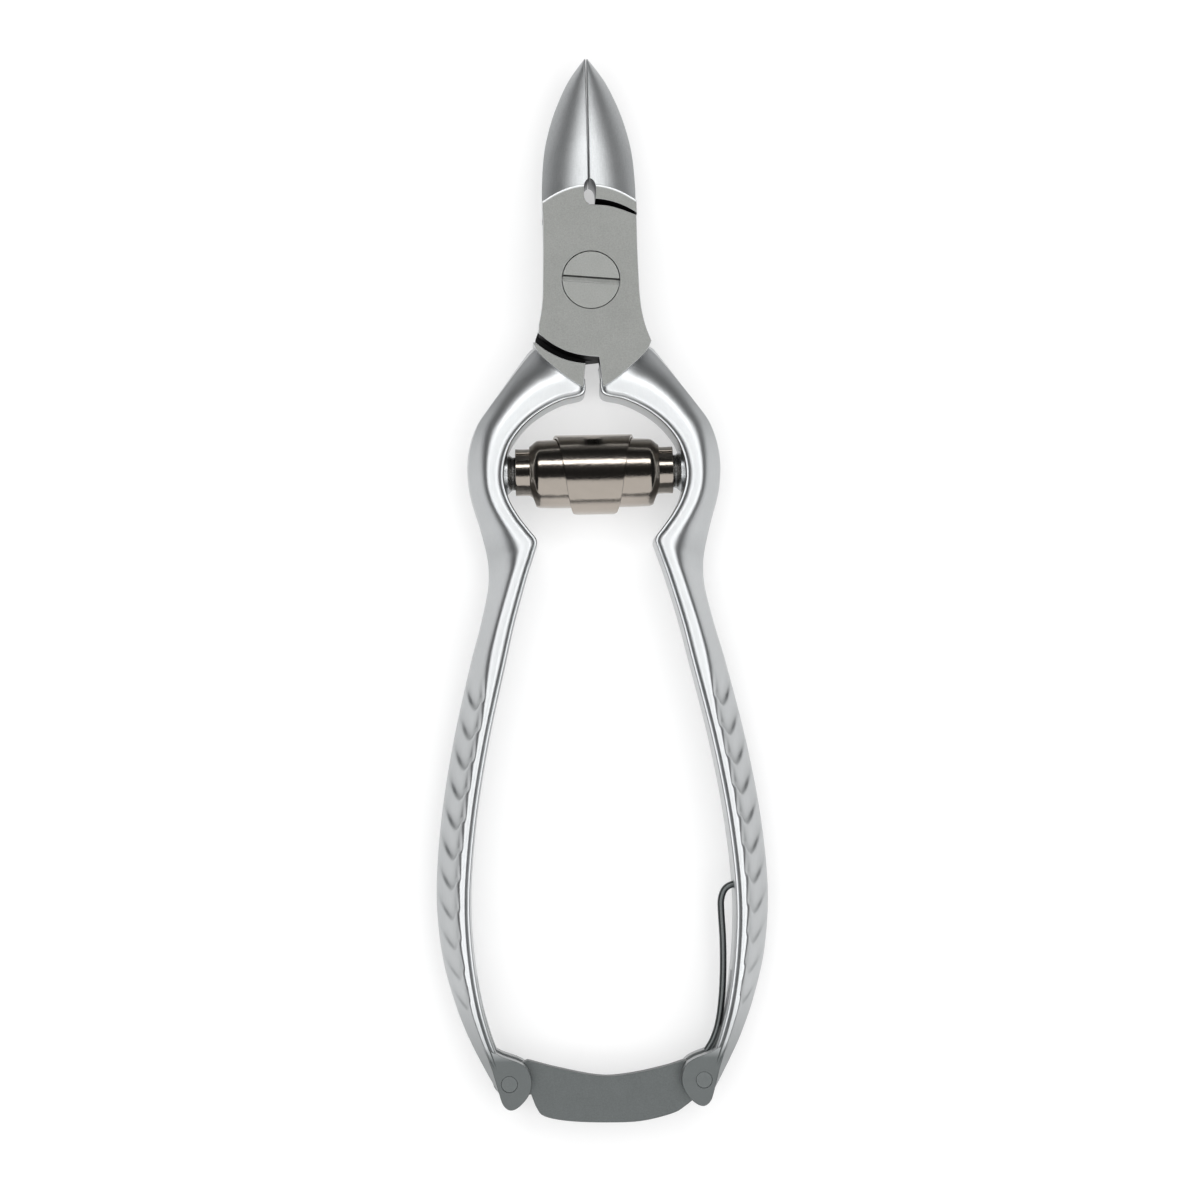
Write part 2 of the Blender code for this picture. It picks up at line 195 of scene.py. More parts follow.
class NipperSizes(bpy.types.PropertyGroup):
    """Sizes that a user would change."""
    flute_depth: bpy.props.FloatProperty(
        name="Flute depth", description="How deep the finger flutes are pressed",
        default=0.44 * MM, min=0.0, max=0.8 * MM, precision=5, unit="LENGTH")
    station_spacing: bpy.props.FloatProperty(
        name="Station spacing", description="Distance between sections along the handles",
        default=0.26 * MM, min=0.2 * MM, max=2.0 * MM, precision=5, unit="LENGTH")


class NipperColours(bpy.types.PropertyGroup):
    """Base colours of the metals."""
    chrome: bpy.props.FloatVectorProperty(
        name="Satin chrome", description="Plated handles and jaws",
        default=(0.52, 0.533, 0.54), subtype="COLOR", size=3, min=0.0, max=1.0)
    ground: bpy.props.FloatVectorProperty(
        name="Ground steel", description="Flat ground faces of the joint and the screw",
        default=(0.217, 0.222, 0.213), subtype="COLOR", size=3, min=0.0, max=1.0)
    dark: bpy.props.FloatVectorProperty(
        name="Dark steel", description="Catch bar, pins and wire",
        default=(0.09, 0.097, 0.097), subtype="COLOR", size=3, min=0.0, max=1.0)
    nickel: bpy.props.FloatVectorProperty(
        name="Bright nickel", description="Polished spring strip",
        default=(0.40, 0.36, 0.318), subtype="COLOR", size=3, min=0.0, max=1.0)


# ----------------------------------------------------------------- drawing helpers

def smooth(points, spacing, closed=False):
    """Points on a Catmull-Rom curve through the given points, about a spacing apart."""
    points = [Vector(p) for p in points]
    count = len(points)
    spans = count if closed else count - 1
    result = []
    for i in range(spans):
        if closed:
            before, start = points[i - 1], points[i]
            end, after = points[(i + 1) % count], points[(i + 2) % count]
        else:
            start, end = points[i], points[i + 1]
            before = points[i - 1] if i else start * 2 - end
            after = points[i + 2] if i + 2 < count else end * 2 - start
        steps = max(2, round((end - start).length / spacing))
        for step in range(steps):
            t = step / steps
            result.append(0.5 * (2 * start + (end - before) * t
                                 + (2 * before - 5 * start + 4 * end - after) * t ** 2
                                 + (3 * start - before - 3 * end + after) * t ** 3))
    if not closed:
        result.append(points[-1])
    return result


def arc(radius, start_deg, end_deg, steps):
    """Points on an arc about the pivot."""
    points = []
    for i in range(steps + 1):
        angle = math.radians(start_deg + (end_deg - start_deg) * i / steps)
        points.append(Vector((radius * math.cos(angle), radius * math.sin(angle))))
    return points


def angle_at(radius, x, y_sign):
    """The angle in degrees at which a circle about the pivot crosses this x."""
    return math.degrees(math.atan2(y_sign * math.sqrt(radius ** 2 - x ** 2), x))


def ease(value):
    """A smooth step from 0 to 1."""
    value = min(1.0, max(0.0, value))
    return value * value * (3.0 - 2.0 * value)


# -------------------------------------------------------------------- mesh helpers

def new_object(name, bm):
    """An object from a bmesh in drawing millimetres, with its faces pointing out."""
    bmesh.ops.recalc_face_normals(bm, faces=bm.faces)
    mesh = bpy.data.meshes.new(name)
    bm.to_mesh(mesh)
    bm.free()
    obj = bpy.data.objects.new(name, mesh)
    bpy.context.scene.collection.objects.link(obj)
    return obj


def break_edges(bm, edges, width, segments=2):
    """Rounds edges a little."""
    bmesh.ops.bevel(bm, geom=edges, offset=width, offset_type="OFFSET", segments=segments,
                    profile=0.5, affect="EDGES", material=-1, clamp_overlap=True)


def slab(name, outline, low, high, broken=()):
    """A flat outline extruded in height, with its rims at the given heights rounded."""
    bm = bmesh.new()
    verts = [bm.verts.new((p[0], p[1], low)) for p in outline]
    face = bm.faces.new(verts)
    grown = bmesh.ops.extrude_face_region(bm, geom=[face])
    moved = [v for v in grown["geom"] if isinstance(v, bmesh.types.BMVert)]
    bmesh.ops.translate(bm, verts=moved, vec=(0.0, 0.0, high - low))
    rim = []
    for height in broken:
        rim += [e for e in bm.edges if all(abs(v.co.z - height) < 1e-4 for v in e.verts)]
    if rim:
        break_edges(bm, rim, EDGE_BREAK)
    return new_object(name, bm)


def loft(name, rings):
    """A closed body through rings of points, each ring with the same count."""
    bm = bmesh.new()
    loops = []
    for ring in rings:
        verts = [bm.verts.new(p) for p in ring]
        loops.append([bm.edges.new((verts[i - 1], verts[i])) for i in range(len(verts))])
    for lower, upper in zip(loops, loops[1:]):
        bmesh.ops.bridge_loops(bm, edges=lower + upper)
    bmesh.ops.contextual_create(bm, geom=loops[0])
    bmesh.ops.contextual_create(bm, geom=loops[-1])
    return new_object(name, bm)


def rod(name, start, end, radius, sides=ROUND_SIDES, broken=0.0):
    """A round rod between two points, with its end rims rounded."""
    start, end = Vector(start), Vector(end)
    turn = (end - start).to_track_quat("Z", "Y").to_matrix().to_4x4()
    bm = bmesh.new()
    bmesh.ops.create_cone(bm, cap_ends=True, segments=sides, radius1=radius,
                          radius2=radius, depth=(end - start).length,
                          matrix=Matrix.Translation((start + end) / 2) @ turn)
    if broken:
        rims = [e for e in bm.edges if any(len(f.verts) > 4 for f in e.link_faces)]
        break_edges(bm, rims, broken)
    return new_object(name, bm)


def box(name, low, high, turn=0.0):
    """A box between two corners, turned about Z through its middle."""
    low, high = Vector(low), Vector(high)
    size = high - low
    place = (Matrix.Translation((low + high) / 2) @ Matrix.Rotation(turn, 4, "Z")
             @ Matrix.Diagonal((size.x, size.y, size.z, 1.0)))
    bm = bmesh.new()
    bmesh.ops.create_cube(bm, size=1.0, matrix=place)
    return new_object(name, bm)


def turned(name, profile, centre):
    """A closed profile of (x, radius) points turned about the line along X at centre."""
    bm = bmesh.new()
    verts = [bm.verts.new((x, radius, 0.0)) for x, radius in profile]
    edges = [bm.edges.new((verts[i - 1], verts[i])) for i in range(len(verts))]
    bmesh.ops.spin(bm, geom=verts + edges, cent=(0.0, 0.0, 0.0), axis=(1.0, 0.0, 0.0),
                   angle=FULL_TURN, steps=ROUND_SIDES, use_merge=True)
    bmesh.ops.remove_doubles(bm, verts=bm.verts, dist=0.0001)
    bmesh.ops.translate(bm, verts=bm.verts, vec=centre)
    return new_object(name, bm)


def freeze(obj):
    """Replaces an object's mesh with what its modifiers make of it."""
    graph = bpy.context.evaluated_depsgraph_get()
    mesh = bpy.data.meshes.new_from_object(obj.evaluated_get(graph))
    obj.modifiers.clear()
    obj.data = mesh


def combine(target, tool, operation):
    """Joins the tool to the target, or cuts it away, and drops the tool."""
    modifier = target.modifiers.new("combine", "BOOLEAN")
    modifier.operation = operation
    modifier.solver = "EXACT"
    modifier.object = tool
    freeze(target)
    bpy.data.objects.remove(tool)


def settle(obj, material, body, slot, *nodes, sharp=32.0):
    """Brings a piece to its place in metres, shades it, and ties it to the frame."""
    obj.data.transform(Matrix.Translation(PIVOT) @ Matrix.Scale(MM, 4))
    obj.data.shade_smooth()
    obj.data.set_sharp_from_angle(angle=math.radians(sharp))
    weigh = obj.modifiers.new("even shading", "WEIGHTED_NORMAL")
    weigh.keep_sharp = True
    freeze(obj)
    obj.data.materials.clear()
    obj.data.materials.append(material)
    if body:
        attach(obj, body)
    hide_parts(*nodes)


# ------------------------------------------------------------------ shader helpers

class Wire:
    """A shader socket that can be used in Python sums."""

    def __init__(self, graph, socket):
        self.graph = graph
        self.socket = socket

    def __add__(self, other):
        return self.graph.math("ADD", self, other)

    def __sub__(self, other):
        return self.graph.math("SUBTRACT", self, other)

    def __rsub__(self, other):
        return self.graph.math("SUBTRACT", other, self)

    def __mul__(self, other):
        return self.graph.math("MULTIPLY", self, other)

    def clamped(self):
        return self.graph.math("MULTIPLY", self, 1.0, use_clamp=True)

    def size(self):
        return self.graph.math("ABSOLUTE", self)

    __radd__ = __add__
    __rmul__ = __mul__


class Finish:
    """A material with a Principled shader and short ways to add nodes to it."""

    def __init__(self, name):
        self.material = bpy.data.materials.new(name)
        self.material.use_nodes = True
        self.nodes = self.material.node_tree.nodes
        self.links = self.material.node_tree.links
        self.shader = self.nodes["Principled BSDF"]

    def node(self, kind, settings=(), **inputs):
        """A node of this type, with its settings, then its sockets' values or wires."""
        made = self.nodes.new(kind)
        for key, value in dict(settings).items():
            setattr(made, key, value)
        for key, value in inputs.items():
            numbered = key[0] == "i" and key[1:].isdigit()
            self.feed(made.inputs[int(key[1:]) if numbered else key], value)
        return made

    def feed(self, socket, value):
        if isinstance(value, Wire):
            self.links.new(value.socket, socket)
        else:
            socket.default_value = value

    def math(self, operation, *values, use_clamp=False):
        settings = {"operation": operation, "use_clamp": use_clamp}
        inputs = {f"i{i}": value for i, value in enumerate(values)}
        return Wire(self, self.node("ShaderNodeMath", settings, **inputs).outputs[0])

    def position(self):
        """Object coordinates, in metres."""
        return Wire(self, self.node("ShaderNodeTexCoord").outputs["Object"])

    def axes(self, where):
        split = self.node("ShaderNodeSeparateXYZ", Vector=where)
        return [Wire(self, out) for out in split.outputs]

    def stretched(self, where, scale):
        made = self.node("ShaderNodeMapping", Vector=where, Scale=scale)
        return Wire(self, made.outputs[0])

    def noise(self, where, scale, detail=4.0, roughness=0.55):
        made = self.node("ShaderNodeTexNoise", Vector=where, Scale=scale, Detail=detail,
                         Roughness=roughness)
        return Wire(self, made.outputs[0])

    def blend(self, factor, low, high):
        """A mix of two colours."""
        made = self.node("ShaderNodeMix", {"data_type": "RGBA"}, i0=factor)
        for socket, colour in ((made.inputs[6], low), (made.inputs[7], high)):
            if isinstance(colour, Wire):
                self.links.new(colour.socket, socket)
            else:
                socket.default_value = (*colour, 1.0)
        return Wire(self, made.outputs[2])

    def bump(self, height, distance, strength=1.0):
        made = self.node("ShaderNodeBump", Height=height, Distance=distance, Strength=strength)
        return Wire(self, made.outputs[0])

    def set(self, **inputs):
        for key, value in inputs.items():
            self.feed(self.shader.inputs[key.replace("_", " ")], value)
        return self.material


# Where a lever's looks change, in drawing millimetres.
FLAT_DOWN_TO = 14.9
JAW_LOOKS_FROM = 10.5
TAIL_FROM = 93.0
CHEEKS_FROM = 100.0
# Painted shade: a near-black crescent over the narrow gap between the joint plate and the other
# lever's root, with its radii and half width and its colour.
SHADED_CREVICE_R = (9.4, 11.15)
SHADED_CREVICE_HALF = 6.0

CREVICE_SHADE_COLOUR = (0.02, 0.02, 0.02)
# Point attribute that carries the painted shade of the flute heels.
FLUTE_SHADE_ATTRIBUTE = "flute_grime"
GRAIN_SCALE = 5200.0
GRAIN_HEIGHT = 0.000012


def shade(colour, share):
    """A colour made darker or lighter."""
    return tuple(min(1.0, c * share) for c in colour)


def forged_finish(name):
    """Satin chrome forging, matte ground joint faces, darker lug cheeks, painted shade in the joint
    crevices and the flute heels, and a painted highlight along the jaw arch.

    Each mask is a clamped ramp, whose factor says how steeply it rises per metre.
    """
    colours = bpy.context.scene.nipper_colours
    made = Finish(name)
    where = made.position()
    x, y, z = made.axes(where)
    depth = (z - PIVOT.z).size()
    up = y - PIVOT.y
    flat = (((depth - (JOINT_HALF - 0.05) * MM) * 30000.0).clamped()
            * ((up + FLAT_DOWN_TO * MM) * 20000.0).clamped())
    cheek = (((-CHEEKS_FROM * MM - up) * 500.0).clamped()
             * ((depth - (LUG_HALF - 0.25) * MM) * 8000.0).clamped())
    jaw = ((up - JAW_LOOKS_FROM * MM) * 1500.0).clamped() * (1.0 - flat)
    tail = ((-TAIL_FROM * MM - up) * 110.0).clamped() * 0.55
    reach = made.math("SQRT", x * x + up * up)
    # Painted shade in the lap joint's crevice, where the plate above leaves the gap dark.
    crevice_shade_half = SHADED_CREVICE_HALF * MM + (up * -2000.0).clamped() * (1.5 * MM)
    crevice_shade = (((reach - SHADED_CREVICE_R[0] * MM) * 8000.0).clamped()
               * ((SHADED_CREVICE_R[1] * MM - reach) * 8000.0).clamped()
               * ((crevice_shade_half - x.size()) * 8000.0).clamped()
               * (((JOINT_HALF - 0.16) * MM - depth) * 12000.0).clamped())
    grain = made.noise(where, GRAIN_SCALE, 3.0, 0.75)
    cloud = made.noise(where, 260.0, 4.0, 0.6)
    strokes = made.noise(made.stretched(where, (7000.0, 500.0, 7000.0)), 1.0, 4.0, 0.6)
    chrome = made.blend(cloud * 0.5 + strokes * 0.5,
                        shade(colours.chrome, 0.84), shade(colours.chrome, 1.08))
    # Painted shade: the heels of the finger flutes are darkened towards dark steel.
    grime = Wire(made, made.node("ShaderNodeAttribute", {"attribute_name": FLUTE_SHADE_ATTRIBUTE}).outputs["Fac"])
    chrome = made.blend((grime * 1.3).clamped() * 0.62, chrome, shade(colours.dark, 0.9))
    # Painted highlight: a narrow band along the jaw arch where the ground face is made bright.
    arch = up - (JAW_ARCH_Y - 0.12) * MM + x * x * (JAW_ARCH_BEND / MM)
    rim = (1.0 - arch.size() * (1.0 / (0.26 * MM))).clamped() * (up * 2000.0).clamped()
    brushed = made.blend(strokes * 0.5 + grain * 0.5,
                         shade(colours.chrome, 0.6), shade(colours.chrome, 1.15))
    ground = made.blend(grain * 0.7 + cloud * 0.3,
                        shade(colours.ground, 0.55), shade(colours.ground, 1.45))
    # Painted highlight along the jaw arch, lightening the ground face towards bright chrome.
    ground = made.blend(rim * 0.9, ground, shade(colours.chrome, 1.6))
    cheeks = made.blend(grain, shade(colours.dark, 1.05), shade(colours.dark, 1.35))
    colour = made.blend(jaw, made.blend(tail, chrome, shade(colours.dark, 1.5)), brushed)
    colour = made.blend(flat, colour, ground)
    colour = made.blend(cheek, colour, cheeks)
    colour = made.blend(crevice_shade, colour, CREVICE_SHADE_COLOUR)
    matte = (flat + cheek).clamped()
    roughness = (0.32 + cloud * 0.06 + jaw * 0.08 + matte * 0.14 + grain * matte * 0.06
                 + crevice_shade * 0.3)
    height = grain * (matte * 0.9 + 0.22) + strokes * (jaw * 0.4 + 0.15) + cloud * 0.15
    return made.set(Base_Color=colour, Metallic=1.0, Roughness=roughness,
                    Normal=made.bump(height, GRAIN_HEIGHT, 0.55))


def ground_finish(name, colour, roughness, grain_scale=GRAIN_SCALE):
    """Fine matte ground steel."""
    made = Finish(name)
    where = made.position()
    grain = made.noise(where, grain_scale, 3.0, 0.7)
    cloud = made.noise(where, 420.0, 4.0, 0.6)
    mixed = made.blend(grain * 0.75 + cloud * 0.25, shade(colour, 0.66), shade(colour, 1.34))
    return made.set(Base_Color=mixed, Metallic=1.0,
                    Roughness=roughness + grain * 0.06 + cloud * 0.04,
                    Normal=made.bump(grain + cloud * 0.3, GRAIN_HEIGHT, 0.5))


def polished_finish(name, colour):
    """Polished nickel over rolled strip, with faint waves, orange peel and hairlines."""
    made = Finish(name)
    where = made.position()
    waves = made.noise(made.stretched(where, (260.0, 420.0, 420.0)), 1.0, 3.0, 0.5)
    peel = made.noise(where, 2600.0, 3.0, 0.6)
    lines = made.noise(made.stretched(where, (12000.0, 900.0, 900.0)), 1.0, 3.0, 0.6)
    mixed = made.blend(waves, shade(colour, 0.9), shade(colour, 1.06))
    return made.set(Base_Color=mixed, Metallic=1.0, Roughness=0.12 + lines * 0.10,
                    Normal=made.bump(waves * 0.8 + peel * 0.3 + lines * 0.1, 0.00005, 0.7))


# ------------------------------------------------------------------- lever outlines

def arch_y(x):
    """Where the flat joint face ends and the domed jaw begins."""
    return JAW_ARCH_Y - JAW_ARCH_BEND * x * x


def arch_points(steps):
    """The arch from the seam to the outer edge of the left jaw."""
    xs = [-SEAM_HALF_GAP - (JAW_EDGE_X - SEAM_HALF_GAP) * i / steps for i in range(steps + 1)]
    return [Vector((x, arch_y(x))) for x in xs]


def side_edge():
    """The plate's right-hand edge, from beside the jaw down to the handle."""
    return smooth([(6.15, 8.45), (6.15, 6.0), (6.2, 3.0), (6.4, -2.5), (6.95, -5.8),
                   (7.78, -8.15)], 0.8)


def crease():
    """The line where the flat joint face meets the right handle, from the outside in."""
    return smooth([(7.78, -8.15), (7.0, -9.6), (5.05, -11.4), (2.95, -13.1), (1.3, -14.15)], 0.6)


def plate_outline():
    """The half-thickness plate: left jaw root, pivot plate and right handle root."""
    left_edge = [(-p.x, p.y) for p in side_edge() if p.y > -6.5]
    lower_arc = smooth([(-7.0, -6.95), (-5.5, -8.2), (-3.5, -9.3), (-1.45, -9.9),
                        (0.85, -10.15)], 0.6)
    upper_arc = smooth([(4.6, 9.1), (2.6, 9.73), (0.4, 9.95)], 0.6)
    outline = arch_points(16) + left_edge + lower_arc
    outline += list(reversed(crease())) + list(reversed(side_edge()))[1:] + upper_arc
    outline.append((-SEAM_HALF_GAP, 9.97))
    return [Vector((p[0], p[1])) for p in outline]


def jaw_root_outline():
    """The full-thickness root of the left jaw, outside the joint's arc."""
    start = angle_at(JAW_ARC_R, -JAW_EDGE_X, 1)
    end = angle_at(JAW_ARC_R, -SEAM_HALF_GAP, 1)
    return arch_points(16) + arc(JAW_ARC_R, start, end, 14)


def handle_root_outline():
    """The full-thickness root of the right handle, outside the joint's arc."""
    start = angle_at(ROOT_ARC_R, 0.93, -1)
    end = angle_at(ROOT_ARC_R, 7.45, -1)
    return arc(ROOT_ARC_R, start, end, 14) + crease()


def lug_outline():
    """The rounded lug at the end of the right handle."""
    return smooth([(15.7, -100.5), (14.6, -100.8), (13.4, -101.4), (11.4, -102.15), (10.3, -103.0),
                   (9.8, -104.6), (10.15, -106.3), (11.4, -107.8), (12.6, -108.3), (13.55, -107.6),
                   (14.15, -105.8), (14.9, -103.1)], 0.35, closed=True)


def slot_outline():
    """The slot in a handle's end: a pocket in the inner wall that opens right through the lug."""
    points = [(8.0, -112.0), (20.0, -112.0), (20.0, -99.6), (16.3, -98.7), (17.2, -95.0),
              (17.8, -92.2), (17.3, -91.0), (8.0, -91.0)]
    return [Vector(p) for p in points]


# Right handle, from the joint to the lug: inner point, outer point and half depth.
HANDLE_STATIONS = [
    (1.0, -13.0, 7.35, -8.45, 3.9),
    (1.25, -14.95, 8.15, -8.75, 4.15),
    (3.9, -15.7, 10.0, -11.1, 4.2),
    (6.2, -16.75, 11.9, -13.7, 4.3),
    (8.2, -18.1, 13.9, -16.4, 4.45),
    (9.8, -19.7, 15.4, -18.6, 4.6),
    (11.0, -21.5, 16.35, -21.2, 4.7),
    (11.75, -23.8, 16.75, -24.0, 4.8),
    (11.9, -26.2, 16.6, -26.9, 4.8),
    (11.25, -28.7, 16.1, -29.3, 4.8),
    (10.05, -30.9, 15.4, -31.6, 4.8),
    (8.8, -32.6, 14.85, -33.7, 4.8),
    (7.75, -34.1, 14.4, -35.7, 4.8),
    (8.1, -35.6, 14.2, -37.6, 4.8),
    (9.2, -38.9, 14.35, -40.4, 4.8),
    (10.9, -44.8, 15.5, -45.4, 4.75),
    (12.15, -50.0, 16.9, -50.4, 4.7),
    (14.5, -60.0, 19.25, -60.3, 4.6),
    (16.15, -69.0, 20.85, -69.2, 4.55),
    (17.1, -77.0, 21.7, -77.2, 4.45),
    (17.35, -83.0, 21.75, -83.2, 4.35),
    (17.0, -89.0, 21.0, -89.4, 4.2),
    (16.2, -94.5, 19.5, -95.0, 4.0),
    (15.1, -98.8, 17.9, -99.2, 3.75),
    (14.1, -101.6, 16.55, -102.0, 3.5),
    (13.2, -104.2, 15.2, -104.5, 3.3),
    (12.8, -105.6, 14.35, -106.0, 3.0),
    (12.6, -106.4, 13.7, -106.8, 2.8),
]

# Inner rim of the section: millimetres from the inner wall and below the half depth.
RIM = [(0.0, 0.60), (0.05, 0.46), (0.15, 0.37), (0.25, 0.37), (0.35, 0.42)]
CROWN_FROM = 0.45
CROWN_DROP = 0.30
CROWN_STEPS = 8
FACET_STEPS = 14
FACET_END = 0.96
LOWEST_FACET = 0.1
NOSE_HEIGHTS = (0.55, 0.2)


def facet_form(along):
    """Where the crest begins and ends, where the outer facet starts, and its slope."""
    past_bow = ease((along - 14.0) / 12.0)
    on_grip = ease((along - 48.0) / 10.0)
    near = 1.25 - 0.3 * on_grip
    far = near + 1.3 - 0.75 * past_bow - 0.3 * on_grip
    start = 0.88 - 0.22 * past_bow - 0.21 * on_grip
    slope = 0.85 + 0.65 * ease((along - 16.0) / 11.0)
    return near, far, start, slope


def flute_place(along, across):
    """Which share of its length a flute has reached here, and how far it fades down the handle."""
    if across > FLUTE_HEEL:
        rise = FLUTE_LEAN * (across - FLUTE_HEEL) ** FLUTE_LEAN_POWER
    else:
        rise = FLUTE_HOOK * min(FLUTE_HOOK_REACH, FLUTE_HEEL - across) ** 2
    phase = (along + rise - FLUTE_FROM) / FLUTE_PITCH
    count = (FLUTE_TO - FLUTE_FROM) / FLUTE_PITCH
    if phase < 0.0 or phase > count:
        return 0.0, 0.0
    fading = ease((phase / count - FLUTE_FADE_FROM) / (1.0 - FLUTE_FADE_FROM))
    return phase % 1.0, 1.0 - FLUTE_FADE * fading


def flute_drop(along, across):
    """How deep a flute is at a distance along the handle and a share across the facet."""
    part, fade = flute_place(along, across)
    scoop = part ** 1.5 * (1.0 - ease((part - FLUTE_WALL_FROM) / (1.0 - FLUTE_WALL_FROM)))
    ends = ease((across + 0.36) / 0.3) * (1.0 - 0.88 * ease((across - 0.4) / 0.55))
    return bpy.context.scene.nipper_sizes.flute_depth / MM * scoop * ends * fade


def flute_grime(along, across):
    """How much painted shade the heel of a flute gets: strongest at its lower edge, fading upwards.
    """
    part, fade = flute_place(along, across)
    heel = part ** 4.0 * (1.0 - ease((part - FLUTE_SHADE_FROM) / (1.0 - FLUTE_SHADE_FROM)))
    ends = ease((across + 0.22) / 0.2) * (1.0 - 0.75 * ease((across - 0.3) / 0.6))
    return heel * ends * fade


def handle_ring(station):
    """One closed section of the handle with the finger flutes, and how much painted shade each
    point gets.
    """
    inner, outer = Vector((station[0], station[1])), Vector((station[2], station[3]))
    half = station[4]
    width = (outer - inner).length
    out = (outer - inner).normalized()
    along = -(inner.y + outer.y) / 2.0
    crest, far, start_share, slope = facet_form(along)
    start, end = start_share * width, FACET_END * width
    crest = min(crest, 0.3 * width)
    far = min(far, 0.5 * (crest + start))
    slope = min(slope, (1.0 - LOWEST_FACET) * half / (end - start + (start - far) / 2.0))
    turn_drop = slope * (start - far) / 2.0
    spots = [(offset, half - drop) for offset, drop in RIM]
    for i in range(CROWN_STEPS):
        share = i / CROWN_STEPS
        offset = CROWN_FROM + (crest - CROWN_FROM) * share
        spots.append((offset, half - CROWN_DROP * (1.0 - share) ** 2))
    spots.append((crest, half))
    for i in range(CROWN_STEPS):
        share = i / CROWN_STEPS
        spots.append((far + (start - far) * share, half - turn_drop * share ** 2))
    for i in range(FACET_STEPS + 1):
        offset = start + (end - start) * i / FACET_STEPS
        spots.append((offset, half - turn_drop - slope * (offset - start)))
    foot = spots[-1][1]
    for i, share in enumerate(NOSE_HEIGHTS):
        spots.append((end + (width - end) * (i + 1) / len(NOSE_HEIGHTS), foot * share))
    front, grime = [], []
    for offset, height in spots:
        across = (offset - start) / (end - start)
        fluted = offset > far and height > 0.3
        sunk = flute_drop(along, across) if fluted else 0.0
        grime.append(flute_grime(along, across) if fluted else 0.0)
        place = inner + out * (offset - SUNK_OUT * sunk)
        front.append(Vector((place.x, place.y, height - SUNK_DOWN * sunk * min(1.0, height))))
    back = [Vector((p.x, p.y, -p.z)) for p in reversed(front)]
    return front + back, grime + grime[::-1]


# Jaw, from the joint to the tip: y, half width, crest, side, back.
JAW_STATIONS = [
    (12.2, 6.2, 4.1, 1.2, -4.2),
    (15.0, 6.15, 3.95, 0.9, -4.15),
    (18.5, 5.75, 3.6, 0.6, -3.9),
    (22.0, 4.75, 2.95, 0.3, -3.4),
    (25.0, 3.5, 2.2, 0.15, -2.7),
    (27.2, 2.35, 1.55, 0.05, -2.0),
    (29.0, 1.1, 0.95, 0.0, -1.2),
    (TIP_Y, 0.3, 0.6, 0.0, -0.7),
]


def jaw_ring(station):
    """One closed section of the left jaw, bent with the arch near the joint."""
    y, half_width, crest, side, back = station
    reach = max(0.0, (TIP_Y - y) / (TIP_Y - JAW_START_Y))
    bend = JAW_ARCH_BEND * reach ** 2
    belly_side = -0.25 - side * 0.3
    dome = [Vector((-SEAM_HALF_GAP, y, crest - JAW_SEAM_BREAK))]
    belly = [Vector((-SEAM_HALF_GAP, y, back))]
    inner = SEAM_HALF_GAP + JAW_SEAM_BREAK
    for i in range(JAW_DOME_STEPS + 1):
        share = i / JAW_DOME_STEPS
        x = -inner - (half_width - inner) * share
        rise = 1.0 - share ** 2.0
        dome.append(Vector((x, y - bend * x * x, side + (crest - side) * rise)))
        belly.append(Vector((x, y - bend * x * x, belly_side + (back - belly_side) * rise)))
    return dome + list(reversed(belly))


# -------------------------------------------------------------------------- levers

def lever_blank(name):
    """Plate, roots, right handle and lug: what the two levers share."""
    spacing = bpy.context.scene.nipper_sizes.station_spacing / MM
    lever = slab(name, plate_outline(), LAP_GAP / 2, JOINT_HALF, (JOINT_HALF,))
    root_top = LAP_GAP / 2 + ROOT_OVERLAP
    for root, outline in (("jaw_root", jaw_root_outline()), ("handle_root", handle_root_outline())):
        combine(lever, slab(root, outline, -JOINT_HALF, root_top, (-JOINT_HALF,)), "UNION")
    lug = slab("lug", lug_outline(), -LUG_HALF, LUG_HALF, (-LUG_HALF, LUG_HALF))
    rings = [handle_ring(s) for s in smooth(HANDLE_STATIONS, spacing)]
    handle = loft("handle", [points for points, _ in rings])
    grime = [(point, value) for points, values in rings
             for point, value in zip(points, values) if value > 0.01]
    combine(handle, lug, "UNION")
    combine(handle, slab("lug_slot", slot_outline(), -LUG_SLOT_HALF, LUG_SLOT_HALF), "DIFFERENCE")
    down, up = CATCH_PIVOT.copy(), CATCH_PIVOT.copy()
    down.z, up.z = -6.0, 6.0
    combine(handle, rod("pin_hole", down, up, RIVET_R + PIN_PLAY, PIN_SIDES), "DIFFERENCE")
    start, end = (9.0, SPRING_Y, 0.0), (SEAT_FACE_X, SPRING_Y, 0.0)
    combine(handle, rod("seat_bore", start, end, SEAT_R + SEAT_PLAY), "DIFFERENCE")
    return lever, handle, grime


def paint_flute_shade(lever, grime):
    """Stores the painted shade of the flutes' heels as an attribute on the finished lever's points.
    """
    tree = KDTree(len(grime))
    for i, (point, _) in enumerate(grime):
        tree.insert(point, i)
    tree.balance()
    values = []
    for vert in lever.data.vertices:
        _, nearest, distance = tree.find(vert.co)
        values.append(grime[nearest][1] if distance < FLUTE_SHADE_REACH else 0.0)
    layer = lever.data.attributes.new(FLUTE_SHADE_ATTRIBUTE, "FLOAT", "POINT")
    layer.data.foreach_set("value", values)


